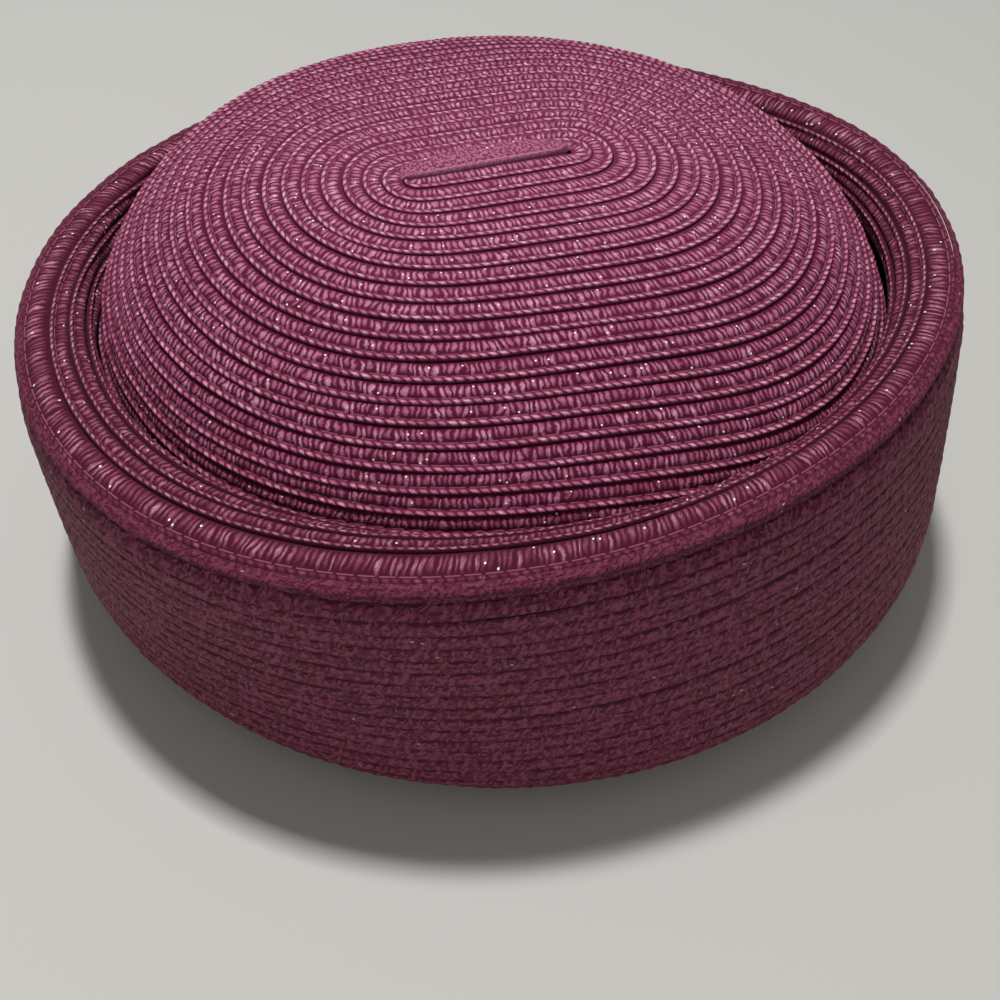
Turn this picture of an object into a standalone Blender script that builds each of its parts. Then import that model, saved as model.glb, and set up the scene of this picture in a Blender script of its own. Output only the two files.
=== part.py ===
"""A sun hat sewn from one narrow straw braid, its wide brim turned up all round into a cuff.

Metres, +Z up. X runs along the slit on top of the crown. The hat rests on the fold of the
brim at z = 0. A direction round the hat is an angle from +X, seen from above, and every
level line of the hat is an oval.
"""

import math
from collections import namedtuple

import bmesh
import bpy
import numpy as np

# Straw
ROW = 0.0046              # the braid rows are sewn this far apart
WALL = 0.0020             # thickness of the straw wall
GAP = 0.0003              # left between pieces that touch
ROUND = 40                # directions round the hat
SHARP_ANGLE = math.radians(40)

# One braid row across: a groove where it tucks under its neighbour, then a corded ridge
RIDGE_AT = 0.78           # where the ridge is, in rows from the groove
GROOVE_DEPTH = 0.0006
RIDGE_HEIGHT = 0.0006
BACK_RELIEF = 0.0004      # the reverse of the braid, which the cuff shows, is flatter

Oval = namedtuple("Oval", "x y half_x half_y")

# Crown: a dome between the slit on top and its widest level line, then a skirt to the head
SLIT = Oval(-0.0107, -0.0110, 0.0190, 0.0)
SLIT_SHARPNESS = 3.0      # how soon the rows turn round the ends of the slit
CROWN_WIDEST = Oval(-0.0051, -0.0075, 0.1038, 0.1007)
CROWN_WIDEST_Z = 0.0357
CROWN_TOP_Z = 0.1144
CROWN_SPREAD = 3.34       # superellipse powers of the dome's profile
CROWN_DROP = 2.58
CROWN_ROWS = 22           # rows that stand in relief; those below are hidden by the cuff
CROWN_FIRST_RING = 0.25   # the dome starts this part of a row from the slit
CROWN_STRETCH = 0.15      # the rows are up to this much wider in one direction, so that they
CROWN_STRETCH_AT = math.radians(-55)      # soon run round in place of following the slit
CROWN_STRETCH_POWER = 5
CROWN_SMOOTH_RINGS = 3
SKIRT_RINGS = 4
LINING_RINGS = 8          # level lines of the smooth inner side of the dome

# Head opening, and the level at which the crown is sewn to the brim
HEAD = Oval(-0.0015, -0.0020, 0.0938, 0.0900)
JOINT_Z = 0.0090

# Brim: from the rolled edge down the outside of the cuff, round the fold, up to the crown
REST = Oval(0.0, 0.0, 0.1046, 0.0998)     # outer line of the flat ring that it rests on
REST_WIDTH = 0.0030
FOLD_RADIUS = 0.0194
HEAD_FOLD_HEIGHT = 0.0075
HEAD_FOLD_RINGS = 4
CUFF_LENGTH = 0.0643                      # up the outside, between the fold and the round edge
CUFF_ANGLE_TOP = math.radians(77.2)       # 90 degrees is upright, less leans in over the crown
CUFF_ANGLE_LOW = math.radians(81.2)
CUFF_SWAY = (0.096, 0.037)                # how far the cuff as a whole leans to +X and +Y
CUFF_ROWS = 18
CUFF_INNER_ROWS = 5
CUFF_INNER_RINGS = 3      # level lines of its smooth inner side, under those rows
FOLD_INNER_RINGS = 4

# How the cuff changes with the direction: 1 wave is one side against the other, 2 waves are
# the two ends against the two sides. Lean is in radians toward the crown, height a share.
Wave = namedtuple("Wave", "waves cosine sine")
LEAN_WAVES = (
    Wave(1, 0.268, 0.228),
    Wave(2, -0.034, -0.024),
    Wave(3, 0.016, 0.048),
)
HEIGHT_WAVES = (
    Wave(1, 0.056, -0.063),
    Wave(2, 0.029, 0.015),
)

# Rolled edge: how far it is inset from the cuff's face, and how far under the start of the
# straight wall, so that lengths over that start are negative
EDGE_ROUND = 0.0059       # height of the roll over the straight wall
EDGE_TOP_INSET = 0.0054   # where the roll is highest
EDGE_TOP_WAVES = (Wave(1, -0.0010, -0.0012),)
EDGE_FLAP_TURN = math.radians(65)
EDGE_FLAP_STEPS = 3
SHOULDER_REACH = 0.0070   # how far the roll slopes on from its top towards the crown
SHOULDER_REACH_WAVES = (
    Wave(1, -0.0010, -0.0057),
    Wave(2, 0.0036, 0.0002),
    Wave(3, -0.0005, -0.0018),
)
SHOULDER_LEAST = 0.0032   # its reach at the back, where the crown presses it
SHOULDER_DROP = 0.70      # height of the shoulder, as a share of its reach
SHOULDER_POWER = 2.5      # superellipse power: the shoulder is flat on top, then steep
SHOULDER_TURN = math.radians(85)
SHOULDER_STEPS = 5
WALL_TOP = -0.0018        # the wall ends here, inset behind the outer flap of the roll
WALL_TOP_INSET = 0.0027
WALL_CATCH_UP = 0.0070    # the wall comes out from under the roll over this length

# First length of braid, a lip along the back of the slit, folded over at its +X end
LIP_THICKNESS = 0.0014
LIP_FOLD_LENGTH = 0.0060
LIP_STEPS = 8
LIP_TURN_STEPS = 5

# Finish, as seen on the straw
PLUM = (0.27, 0.055, 0.125, 1.0)
PLUM_SHADE = (0.20, 0.04, 0.095, 1.0)
ROUGHNESS = 0.55


def clear_scene():
    for old in list(bpy.data.objects):
        bpy.data.objects.remove(old, do_unlink=True)


def straw(name, colour):
    material = bpy.data.materials.new(name)
    material.use_nodes = True
    shader = material.node_tree.nodes["Principled BSDF"]
    shader.inputs["Base Color"].default_value = colour
    shader.inputs["Roughness"].default_value = ROUGHNESS
    shader.inputs["Metallic"].default_value = 0.0
    return material


def directions():
    return np.arange(ROUND) * 2 * math.pi / ROUND


def smooth_step(share):
    share = np.clip(share, 0.0, 1.0)
    return share * share * (3 - 2 * share)


def oval_points(oval, angle, grow=0.0):
    """Plan points of an oval, moved outward by grow."""
    x = oval.x + (oval.half_x + grow) * np.cos(angle)
    y = oval.y + (oval.half_y + grow) * np.sin(angle)
    return x, y


def add_waves(waves, angle):
    return sum(w.cosine * np.cos(w.waves * angle) + w.sine * np.sin(w.waves * angle) for w in waves)


def points(x, y, z):
    """One ring of points, from its plan and its level."""
    z = np.broadcast_to(z, np.shape(x))
    return np.stack([x, y, z], axis=-1)


def dome(turn, angle):
    """The dome's outer face. turn runs from 0 at the slit to a quarter circle at the widest."""
    along = np.tanh(SLIT_SHARPNESS * np.cos(angle)) / math.tanh(SLIT_SHARPNESS)
    slit_x = SLIT.x + SLIT.half_x * along
    wide_x, wide_y = oval_points(CROWN_WIDEST, angle)
    spread = np.sin(turn) ** (2 / CROWN_SPREAD)
    rise = np.cos(turn) ** (2 / CROWN_DROP)
    x = slit_x + (wide_x - slit_x) * spread
    y = SLIT.y + (wide_y - SLIT.y) * spread
    return points(x, y, CROWN_WIDEST_Z + (CROWN_TOP_Z - CROWN_WIDEST_Z) * rise)


class DomeMeasure:
    """Finds lines on the dome by their lengths down from the slit."""

    def __init__(self, angle, steps=200):
        self.angle = angle
        self.turns = np.linspace(0, math.pi / 2, steps)
        grid = dome(self.turns[:, None], angle[None, :])
        pieces = np.linalg.norm(np.diff(grid, axis=0), axis=2)
        self.lengths = np.vstack([np.zeros(len(angle)), np.cumsum(pieces, axis=0)])

    def turn_at(self, length):
        length = np.broadcast_to(length, self.angle.shape)
        columns = range(len(self.angle))
        return np.array([np.interp(length[i], self.lengths[:, i], self.turns) for i in columns])

    def row_length(self, row):
        """How far down from the slit a row starts, in each direction."""
        nearness = (1 + np.cos(self.angle - CROWN_STRETCH_AT)) / 2
        return row * ROW * (1 + CROWN_STRETCH * nearness ** CROWN_STRETCH_POWER)

    def ring(self, length, lift=0.0):
        """The line at a length from the slit, lifted off the smooth dome."""
        here = dome(self.turn_at(length), self.angle)
        near = ROW / 8
        below = dome(self.turn_at(length + near), self.angle)
        above = dome(self.turn_at(np.maximum(length - near, 0.0)), self.angle)
        around = np.roll(here, -1, axis=0) - np.roll(here, 1, axis=0)
        outward = np.cross(below - above, around)
        outward /= np.linalg.norm(outward, axis=1)[:, None]
        return here + outward * np.reshape(lift, (-1, 1))


def skirt_ring(share, grow, angle):
    """The crown under its widest line: share 0 is the widest line, 1 the seam to the brim."""
    ease = smooth_step(share)
    wide_x, wide_y = oval_points(CROWN_WIDEST, angle, grow)
    head_x, head_y = oval_points(HEAD, angle, WALL + grow)
    level = CROWN_WIDEST_Z + (JOINT_Z - CROWN_WIDEST_Z) * share
    return points(wide_x + (head_x - wide_x) * ease, wide_y + (head_y - wide_y) * ease, level)


def loft(name, rings, closed, material, collection):
    """A skin over rings of points. A closed loft joins its last ring to the first one."""
    shape = bmesh.new()
    rows = [[shape.verts.new(point) for point in ring] for ring in rings]
    pairs = list(zip(rows, rows[1:]))
    if closed == "ring":
        pairs.append((rows[-1], rows[0]))
    for upper, lower in pairs:
        for i in range(ROUND):
            after = (i + 1) % ROUND
            shape.faces.new((upper[i], lower[i], lower[after], upper[after]))
    if closed == "caps":
        shape.faces.new(rows[0])
        shape.faces.new(list(reversed(rows[-1])))
    return finish_mesh(name, shape, material, collection)


def finish_mesh(name, shape, material, collection):
    bmesh.ops.recalc_face_normals(shape, faces=shape.faces)
    mesh = bpy.data.meshes.new(name)
    shape.to_mesh(mesh)
    shape.free()
    mesh.shade_smooth()
    mesh.set_sharp_from_angle(angle=SHARP_ANGLE)
    made = bpy.data.objects.new(name, mesh)
    made.data.materials.append(material)
    collection.objects.link(made)
    return made


def thicken(made, thickness):
    wall = made.modifiers.new("Straw thickness", "SOLIDIFY")
    wall.thickness = thickness
    wall.offset = 0.0
    wall.use_even_offset = True


def make_crown(material, collection):
    angle = directions()
    measure = DomeMeasure(angle)
    under_lip = np.sin(angle) > 0.0
    rings = [measure.ring(measure.row_length(CROWN_FIRST_RING), -GROOVE_DEPTH)]
    for row in range(1, CROWN_ROWS + 1):
        ridge = np.full(ROUND, RIDGE_HEIGHT)
        if row == 1:
            ridge[under_lip] = -GROOVE_DEPTH
        rings.append(measure.ring(measure.row_length(row - 1 + RIDGE_AT), ridge))
        rings.append(measure.ring(measure.row_length(row), -GROOVE_DEPTH))
    last_turn = measure.turn_at(measure.row_length(CROWN_ROWS))
    for step in range(1, CROWN_SMOOTH_RINGS + 1):
        rings.append(dome(last_turn + (math.pi / 2 - last_turn) * step / CROWN_SMOOTH_RINGS, angle))
    for step in range(1, SKIRT_RINGS + 1):
        rings.append(skirt_ring(step / SKIRT_RINGS, 0.0, angle))
    for step in range(SKIRT_RINGS, -1, -1):
        rings.append(skirt_ring(step / SKIRT_RINGS, -WALL, angle))
    shortest = measure.lengths[-1].min()
    for step in range(LINING_RINGS - 1, 0, -1):
        rings.append(measure.ring(shortest * step / LINING_RINGS, -WALL))
    rings.append(measure.ring(ROW / 2, -WALL))
    return loft("crown", rings, "caps", material, collection)


class Cuff:
    """The outside of the turned-up brim, from the top of its edge down to where it rests."""

    STEPS = 240

    def __init__(self, angle):
        self.angle = angle
        lean = add_waves(LEAN_WAVES, angle)
        self.rise = 1 + add_waves(HEIGHT_WAVES, angle)
        self.top_slope = CUFF_ANGLE_TOP - lean
        self.low_slope = CUFF_ANGLE_LOW - lean
        self.length = CUFF_LENGTH + FOLD_RADIUS * (math.pi - self.low_slope)
        self.walk()

    def slope(self, length):
        """The slope of the face at a length below the start of the straight wall."""
        share = np.clip(length / CUFF_LENGTH, 0.0, 1.0)
        straight = self.top_slope + (self.low_slope - self.top_slope) * share
        return straight + np.maximum(length - CUFF_LENGTH, 0.0) / FOLD_RADIUS

    def walk(self):
        """Adds up the way out and down along the face in small steps."""
        self.lengths = np.linspace(0, 1, self.STEPS)[:, None] * self.length
        middle = (self.lengths[1:] + self.lengths[:-1]) / 2
        step = np.diff(self.lengths, axis=0)
        start = np.zeros((1, len(self.angle)))
        out = np.vstack([start, np.cumsum(step * np.cos(self.slope(middle)), axis=0)])
        down = np.vstack([start, np.cumsum(step * np.sin(self.slope(middle)), axis=0)])
        self.out = out - out[-1]
        self.up = down[-1] - down

    def place(self, out, up):
        """World points from the way out of the resting line and the height, per direction."""
        x, y = oval_points(REST, self.angle, out)
        x = x + CUFF_SWAY[0] * up
        y = y + CUFF_SWAY[1] * up
        return points(x, y, up * self.rise)

    def ring(self, length, inset=0.0):
        """The line at a length down the face, set in from it by inset."""
        length = np.broadcast_to(length, self.angle.shape)
        columns = range(len(self.angle))
        on_face = np.clip(length, 0.0, self.length)
        out = np.array([np.interp(on_face[i], self.lengths[:, i], self.out[:, i]) for i in columns])
        up = np.array([np.interp(on_face[i], self.lengths[:, i], self.up[:, i]) for i in columns])
        slope = self.slope(length)
        beyond = np.minimum(length, 0.0)
        out = out + beyond * np.cos(slope) - inset * np.sin(slope)
        up = up - beyond * np.sin(slope) - inset * np.cos(slope)
        return self.place(out, up)


def wall_inset(length):
    """How far the wall's face hangs back under the rolled edge."""
    return WALL_TOP_INSET * (1 - smooth_step((length - WALL_TOP) / WALL_CATCH_UP))


def head_fold_ring(turn, grow, lift, angle):
    """The fold between the resting ring and the head opening, on one side of the straw."""
    from_x, from_y = oval_points(REST, angle, -REST_WIDTH)
    to_x, to_y = oval_points(HEAD, angle, grow)
    share = math.sin(turn)
    level = lift + (HEAD_FOLD_HEIGHT - lift) * (1 - math.cos(turn))
    return points(from_x + (to_x - from_x) * share, from_y + (to_y - from_y) * share, level)


def make_brim(material, collection):
    angle = directions()
    cuff = Cuff(angle)
    top = WALL_TOP
    turns = np.linspace(0.0, math.pi / 2, HEAD_FOLD_RINGS)
    rings = []
    for row in range(CUFF_ROWS):
        for share, relief in ((0.0, -BACK_RELIEF), (0.5, BACK_RELIEF)):
            length = top + (row + share) * ROW
            rings.append(cuff.ring(length, wall_inset(length) - relief * (row > 0)))
    last = top + CUFF_ROWS * ROW
    rings.append(cuff.ring((last + cuff.length) / 2))
    rings.append(cuff.ring(cuff.length))
    rings += [head_fold_ring(turn, 0.0, 0.0, angle) for turn in turns]
    head_x, head_y = oval_points(HEAD, angle)
    outer_x, outer_y = oval_points(HEAD, angle, WALL)
    rings.append(points(head_x, head_y, JOINT_Z - GAP))
    rings.append(points(outer_x, outer_y, JOINT_Z - GAP))
    rings += [head_fold_ring(turn, WALL, WALL, angle) for turn in turns[::-1]]
    fold = cuff.length - CUFF_LENGTH
    for share in np.linspace(1.0, 0.1, FOLD_INNER_RINGS):
        rings.append(cuff.ring(CUFF_LENGTH + fold * share, WALL))
    inner_rows = top + CUFF_INNER_ROWS * ROW
    for step in range(1, CUFF_INNER_RINGS):
        share = step / CUFF_INNER_RINGS
        rings.append(cuff.ring(CUFF_LENGTH + (inner_rows - CUFF_LENGTH) * share, WALL))
    for row in range(CUFF_INNER_ROWS - 1, -1, -1):
        for share, relief in ((0.5, RIDGE_HEIGHT), (0.0, 0.0)):
            length = top + (row + share) * ROW
            rings.append(cuff.ring(length, wall_inset(length) + WALL + relief * (row > 0)))
    return loft("brim", rings, "ring", material, collection)


def edge_section(angle):
    """The middle of the rolled straw, from the end of its shoulder over the top to its flap."""
    half = WALL / 2
    top = EDGE_TOP_INSET + add_waves(EDGE_TOP_WAVES, angle)
    reach = np.maximum(SHOULDER_REACH + add_waves(SHOULDER_REACH_WAVES, angle), SHOULDER_LEAST)
    height = EDGE_ROUND - half
    drop = SHOULDER_DROP * reach - half
    section = []
    for step in range(SHOULDER_STEPS, 0, -1):
        turn = SHOULDER_TURN * step / SHOULDER_STEPS
        across = math.sin(turn) ** (2 / SHOULDER_POWER)
        down = 1 - math.cos(turn) ** (2 / SHOULDER_POWER)
        section.append((drop * down - height, top + (reach - half) * across))
    for step in range(EDGE_FLAP_STEPS + 1):
        turn = EDGE_FLAP_TURN * step / EDGE_FLAP_STEPS
        section.append((-height * math.cos(turn), half + (top - half) * (1 - math.sin(turn))))
    return section


def make_brim_edge(material, collection):
    angle = directions()
    cuff = Cuff(angle)
    rings = [cuff.ring(length, inset) for length, inset in edge_section(angle)]
    edge = loft("brim_edge", rings, "open", material, collection)
    thicken(edge, WALL)
    return edge


def lip_path():
    """The lip from its -X end to the fold at its +X end and a short way back, as (x, z)."""
    low = CROWN_TOP_Z - GROOVE_DEPTH + GAP + LIP_THICKNESS / 2
    turn_radius = (LIP_THICKNESS + GAP) / 2
    end = SLIT.x + SLIT.half_x
    start = SLIT.x - SLIT.half_x
    path = [(start + (end - start) * step / LIP_STEPS, low) for step in range(LIP_STEPS + 1)]
    for step in range(1, LIP_TURN_STEPS + 1):
        turn = math.pi * step / LIP_TURN_STEPS
        path.append((end + turn_radius * math.sin(turn), low + turn_radius * (1 - math.cos(turn))))
    path.append((end - LIP_FOLD_LENGTH, low + 2 * turn_radius))
    return path


def make_crown_start(material, collection):
    shape = bmesh.new()
    sides = []
    for y in (SLIT.y + GAP, SLIT.y + GAP + ROW):
        sides.append([shape.verts.new((x, y, z)) for x, z in lip_path()])
    front, back = sides
    for i in range(len(front) - 1):
        shape.faces.new((front[i], front[i + 1], back[i + 1], back[i]))
    lip = finish_mesh("crown_start", shape, material, collection)
    thicken(lip, LIP_THICKNESS)
    return lip


def centre_on_rest(pieces):
    """Moves the hat so that the middle of its footprint is the origin."""
    bpy.context.view_layer.update()
    deps = bpy.context.evaluated_depsgraph_get()
    corners = []
    for piece in pieces:
        mesh = piece.evaluated_get(deps).to_mesh()
        corners += [piece.matrix_world @ vertex.co for vertex in mesh.vertices]
    spans = [(min(c[axis] for c in corners), max(c[axis] for c in corners)) for axis in range(3)]
    for piece in pieces:
        piece.location.x -= sum(spans[0]) / 2
        piece.location.y -= sum(spans[1]) / 2
        piece.location.z -= spans[2][0]


def main():
    clear_scene()
    hat = bpy.data.collections.new("Sun hat")
    bpy.context.scene.collection.children.link(hat)
    pieces = [
        make_crown(straw("Crown straw", PLUM), hat),
        make_crown_start(straw("First braid straw", PLUM), hat),
        make_brim(straw("Cuff straw", PLUM_SHADE), hat),
        make_brim_edge(straw("Rolled edge straw", PLUM), hat),
    ]
    centre_on_rest(pieces)


main()
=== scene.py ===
"""Looks of a sun hat sewn from one knitted straw braid, its wide brim turned up into a cuff.

The braid runs round the hat in rows. A chart says where a point of one face of the hat lies
that is so many rows down it and so far round it. Rows of braid are laid along these charts
as real relief, and the materials draw the stitches from each row's own coordinates.
"""

import math
from collections import namedtuple

import bpy
import numpy as np
from mathutils import Matrix, Vector


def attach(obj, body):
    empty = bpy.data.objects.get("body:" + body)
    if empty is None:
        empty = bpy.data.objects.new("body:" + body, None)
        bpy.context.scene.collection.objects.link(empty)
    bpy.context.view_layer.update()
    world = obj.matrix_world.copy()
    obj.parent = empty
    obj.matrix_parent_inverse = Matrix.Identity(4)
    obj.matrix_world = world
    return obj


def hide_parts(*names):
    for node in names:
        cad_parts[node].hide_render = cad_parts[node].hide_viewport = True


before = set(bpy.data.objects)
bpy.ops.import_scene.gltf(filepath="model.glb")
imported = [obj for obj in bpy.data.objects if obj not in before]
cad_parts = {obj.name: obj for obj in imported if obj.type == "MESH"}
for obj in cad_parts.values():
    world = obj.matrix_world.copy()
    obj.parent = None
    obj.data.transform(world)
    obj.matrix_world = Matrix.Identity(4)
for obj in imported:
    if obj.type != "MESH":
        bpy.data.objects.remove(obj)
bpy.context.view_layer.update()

FULL_TURN = 2 * math.pi

# Straw, in metres
ROW = 0.0046              # the braid rows are sewn this far apart
REPEAT = 0.0042           # length of one knitted repeat of the braid
WALL = 0.0020
GAP = 0.0003

Oval = namedtuple("Oval", "x y half_x half_y")
Wave = namedtuple("Wave", "waves cosine sine")

# The hat's shape, with the same named sizes as its solids
SLIT = Oval(-0.0107, -0.0110, 0.0190, 0.0)
SLIT_SHARPNESS = 3.0
CROWN_WIDEST = Oval(-0.0051, -0.0075, 0.1038, 0.1007)
CROWN_WIDEST_Z = 0.0357
CROWN_TOP_Z = 0.1144
CROWN_SPREAD = 3.34
CROWN_DROP = 2.58
CROWN_STRETCH = 0.15
CROWN_STRETCH_AT = math.radians(-55)
CROWN_STRETCH_POWER = 5
HEAD = Oval(-0.0015, -0.0020, 0.0938, 0.0900)
JOINT_Z = 0.0090
SEAM_OVERLAP = 0.0062     # the brim's last row goes on this far up inside the crown,
SEAM_OPENS = 0.0004       # following it outward
REST = Oval(0.0, 0.0, 0.1046, 0.0998)
REST_WIDTH = 0.0030
FOLD_RADIUS = 0.0194
HEAD_FOLD_HEIGHT = 0.0075
CUFF_LENGTH = 0.0643
CUFF_ANGLE_TOP = math.radians(77.2)
CUFF_ANGLE_LOW = math.radians(81.2)
CUFF_SWAY = (0.096, 0.037)
LEAN_WAVES = (Wave(1, 0.268, 0.228), Wave(2, -0.034, -0.024), Wave(3, 0.016, 0.048))
HEIGHT_WAVES = (Wave(1, 0.056, -0.063), Wave(2, 0.029, 0.015))
EDGE_ROUND = 0.0059
EDGE_TOP_INSET = 0.0054
EDGE_TOP_WAVES = (Wave(1, -0.0010, -0.0012),)
EDGE_FLAP_TURN = math.radians(65)
SHOULDER_REACH = 0.0070
SHOULDER_REACH_WAVES = (
    Wave(1, -0.0010, -0.0057),
    Wave(2, 0.0036, 0.0002),
    Wave(3, -0.0005, -0.0018),
)
SHOULDER_LEAST = 0.0032
SHOULDER_DROP = 0.70
SHOULDER_POWER = 2.5
SHOULDER_TURN = math.radians(85)
SHOULDER_END = 0.0029                     # its end goes on this far towards the crown,
SHOULDER_END_DOWN = 0.0030                # and down, where it is not pressed by it
SHOULDER_END_BEND = 0.8                   # it has gone so much of the way when it is half down
WALL_TOP = -0.0018
WALL_TOP_INSET = 0.0027
WALL_CATCH_UP = 0.0070
SHIFT = (0.0001, -0.0007, 0.0)            # centres the footprint on the origin

# Charts, and the points down each face of the hat from which they are worked out
CHART_ANGLES = 720
CHART_ROW_STEPS = 8       # samples for each row
DOME_SAMPLES = 500
SKIRT_SAMPLES = 60
WALL_SAMPLES = 160
HEAD_FOLD_SAMPLES = 16
FLAP_SAMPLES = 24
SHOULDER_SAMPLES = 30

# Rows: how many lie on each face, and how many of them are sewn at the even distance
CROWN_ROWS = 36
CROWN_EVEN_ROWS = 24
CUFF_OUTER_ROWS = 25
CUFF_OUTER_EVEN_ROWS = 18
CUFF_FIRST_ROWS = (0.0026,)
CUFF_INNER_ROWS = 24
CUFF_INNER_EVEN_ROWS = 12
EDGE_ROWS = 5
EDGE_FIRST_ROWS = (0.0034, 0.0070)        # the rolled edge shows its first rows at these widths
START_ROW = -0.25                         # the crown's spiral starts under the lip,
START_ANGLE = -math.pi                    # at the left end of the slit
BACK_ANGLE = math.radians(66)             # the far side of the cuff, where its rings are joined

# Camera: where it looks from, then small turns of its aim
PHOTO_PIXELS = 1000
FOCAL_PIXELS = 1466.6
SENSOR_WIDTH = 36.0
CAMERA_TARGET = (0.0, 0.0, 0.042)
CAMERA_DISTANCE = 0.4065
CAMERA_AZIMUTH = math.radians(-24.01)
CAMERA_ELEVATION = math.radians(41.45)
AIM_YAW = -0.0062
AIM_PITCH = -0.0955
AIM_ROLL = 0.0762
CLIP_START = 0.01

# Studio
FLOOR_COLOUR = (0.505, 0.500, 0.470, 1.0)
FLOOR_ROUGHNESS = 0.7
FLOOR_SIZE = 6.0
FLOOR_DROP = -0.0004
WORLD_COLOUR = (1.0, 1.0, 1.0, 1.0)
WORLD_STRENGTH = 0.24
LIGHT_TARGET = (0.0, 0.0, 0.05)
KEY_PLACE = (-0.11, 0.12, 1.3)
KEY_SIZE = 0.11
KEY_POWER = 15.0
FILL_PLACE = (-0.6, -1.4, 0.7)
FILL_SIZE = 1.0
FILL_POWER = 3.0

# The braid across, from where it tucks under its neighbour to its corded edge. Height is in
# millimetres off the straw, cord and loops say how far their stitches lift it.
Across = namedtuple("Across", "share height cord loops")
RIGHT_SIDE = (
    Across(-0.06, -0.62, 0.0, 0.0),
    Across(0.03, -0.45, 0.0, 0.0),
    Across(0.11, -0.10, 0.0, 0.5),
    Across(0.24, 0.12, 0.0, 1.0),
    Across(0.42, 0.15, 0.0, 1.0),
    Across(0.58, 0.02, 0.0, 0.6),
    Across(0.67, -0.22, 0.0, 0.0),
    Across(0.73, 0.12, 0.5, 0.0),
    Across(0.80, 0.52, 1.0, 0.0),
    Across(0.88, 0.64, 1.0, 0.0),
    Across(0.95, 0.40, 1.0, 0.0),
    Across(1.00, -0.10, 0.5, 0.0),
    Across(0.97, -0.62, 0.0, 0.0),
)
EDGE_SIDE = (
    Across(-0.08, -0.60, 0.0, 0.0),
    Across(0.02, -0.45, 0.0, 0.0),
    Across(0.10, 0.00, 0.0, 0.6),
    Across(0.25, 0.25, 0.0, 1.0),
    Across(0.45, 0.30, 0.0, 1.0),
    Across(0.65, 0.12, 0.0, 0.7),
    Across(0.78, -0.12, 0.0, 0.0),
    Across(0.85, 0.05, 0.5, 0.0),
    Across(0.95, 0.10, 0.5, 0.0),
    Across(1.03, -0.30, 0.0, 0.0),
)
REVERSE_SIDE = (
    Across(-0.02, -0.22, 0.0, 0.0),
    Across(0.08, -0.04, 0.0, 0.3),
    Across(0.28, 0.12, 0.0, 1.0),
    Across(0.52, 0.16, 0.0, 1.0),
    Across(0.76, 0.12, 0.0, 1.0),
    Across(0.95, -0.04, 0.0, 0.3),
    Across(1.03, -0.22, 0.0, 0.0),
)
PLAIN_SIDE = (
    Across(-0.03, -0.35, 0.0, 0.0),
    Across(0.18, 0.05, 0.0, 0.0),
    Across(0.50, 0.12, 0.0, 0.0),
    Across(0.82, 0.35, 0.5, 0.0),
    Across(1.03, -0.35, 0.0, 0.0),
)

# The lip across, from the dark line of the slit back to where it goes under the rows; share is
# its place across the braid, back a share of its width and height in millimetres
LipAcross = namedtuple("LipAcross", "share back height cord")
LIP_SIDE = (
    LipAcross(1.01, 0.00, -1.0, 0.0),
    LipAcross(0.99, 0.01, 0.20, 0.3),
    LipAcross(0.94, 0.04, 0.62, 1.0),
    LipAcross(0.88, 0.08, 0.75, 1.0),
    LipAcross(0.82, 0.12, 0.60, 1.0),
    LipAcross(0.76, 0.16, 0.40, 0.0),
    LipAcross(0.60, 0.35, 0.55, 0.0),
    LipAcross(0.40, 0.60, 0.55, 0.0),
    LipAcross(0.20, 0.82, 0.45, 0.0),
    LipAcross(0.08, 0.95, 0.30, 0.0),
    LipAcross(0.00, 1.00, -0.50, 0.0),
)
LIP_START = -0.0330       # along X
LIP_END = 0.0095
LIP_STEPS = 90
LIP_FRONT = 0.0009        # the dark line of the slit is this wide
LIP_WIDTH = 0.0078
LIP_LEAST = 0.0022        # its width at its two ends
LIP_ROUND = 0.0015
LIP_KNOB_AT = 0.0082      # where its folded end is curled up
LIP_KNOB_SIZE = 0.0011
LIP_KNOB_LIFT = 0.0008

# Stitches
MILLIMETRE = 0.001
LUMPS_A_REPEAT = 2.0      # lumps of the twisted cord
LOOPS_A_REPEAT = 3
LUMP_SLANT = -1.6
LUMP_SHARE = 0.8
CORD_LIFT = 0.00014
LOOP_LIFT = 0.00012
FLATTER_AT_START = 0.4    # share of its relief that the braid has in the crown's first row
FULL_RELIEF_ROW = 15
SETTLE_POWER = 8          # a closed row sways less near the place where its ends are joined
INSIDE_ROW = 0.002        # keeps the edge of a row from counting as the next row

# How unevenly the braid is made. A drift's length is the distance between its random values, in
# repeats. Its size is in rows for the rows' sway, in metres for the lip's, and otherwise a share
# of the stitch that it changes.
Drift = namedtuple("Drift", "seed length size")
ROW_SWAY = Drift(0, 9.0, 0.07)
LUMP_SIZE = Drift(1, 0.7, 0.5)
RELIEF_SIZE = Drift(3, 2.3, 0.15)
LUMP_HEIGHT = Drift(4, 1.1, 0.6)
LOOP_HEIGHT = Drift(5, 1.3, 0.8)
LIP_SWAY = Drift(9, 2.0, 0.0002)
DRIFT_KNOTS = 4096        # random values along a line before they come again
CROWN_SEED = 3            # each piece adds its first row to its part's seed
LINING_SEED = 51
BRIM_SEED = 61
LINING_SPACING = 0.0022   # between the columns of the lining's mesh


def smooth_step(share):
    share = np.clip(share, 0.0, 1.0)
    return share * share * (3 - 2 * share)


def add_waves(waves, angle):
    return sum(w.cosine * np.cos(w.waves * angle) + w.sine * np.sin(w.waves * angle) for w in waves)


def points(x, y, z):
    x, y, z = np.broadcast_arrays(x, y, z)
    return np.stack([x, y, z], axis=-1)


def oval_points(oval, angle, grow=0.0):
    x = oval.x + (oval.half_x + grow) * np.cos(angle)
    y = oval.y + (oval.half_y + grow) * np.sin(angle)
    return x, y


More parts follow.
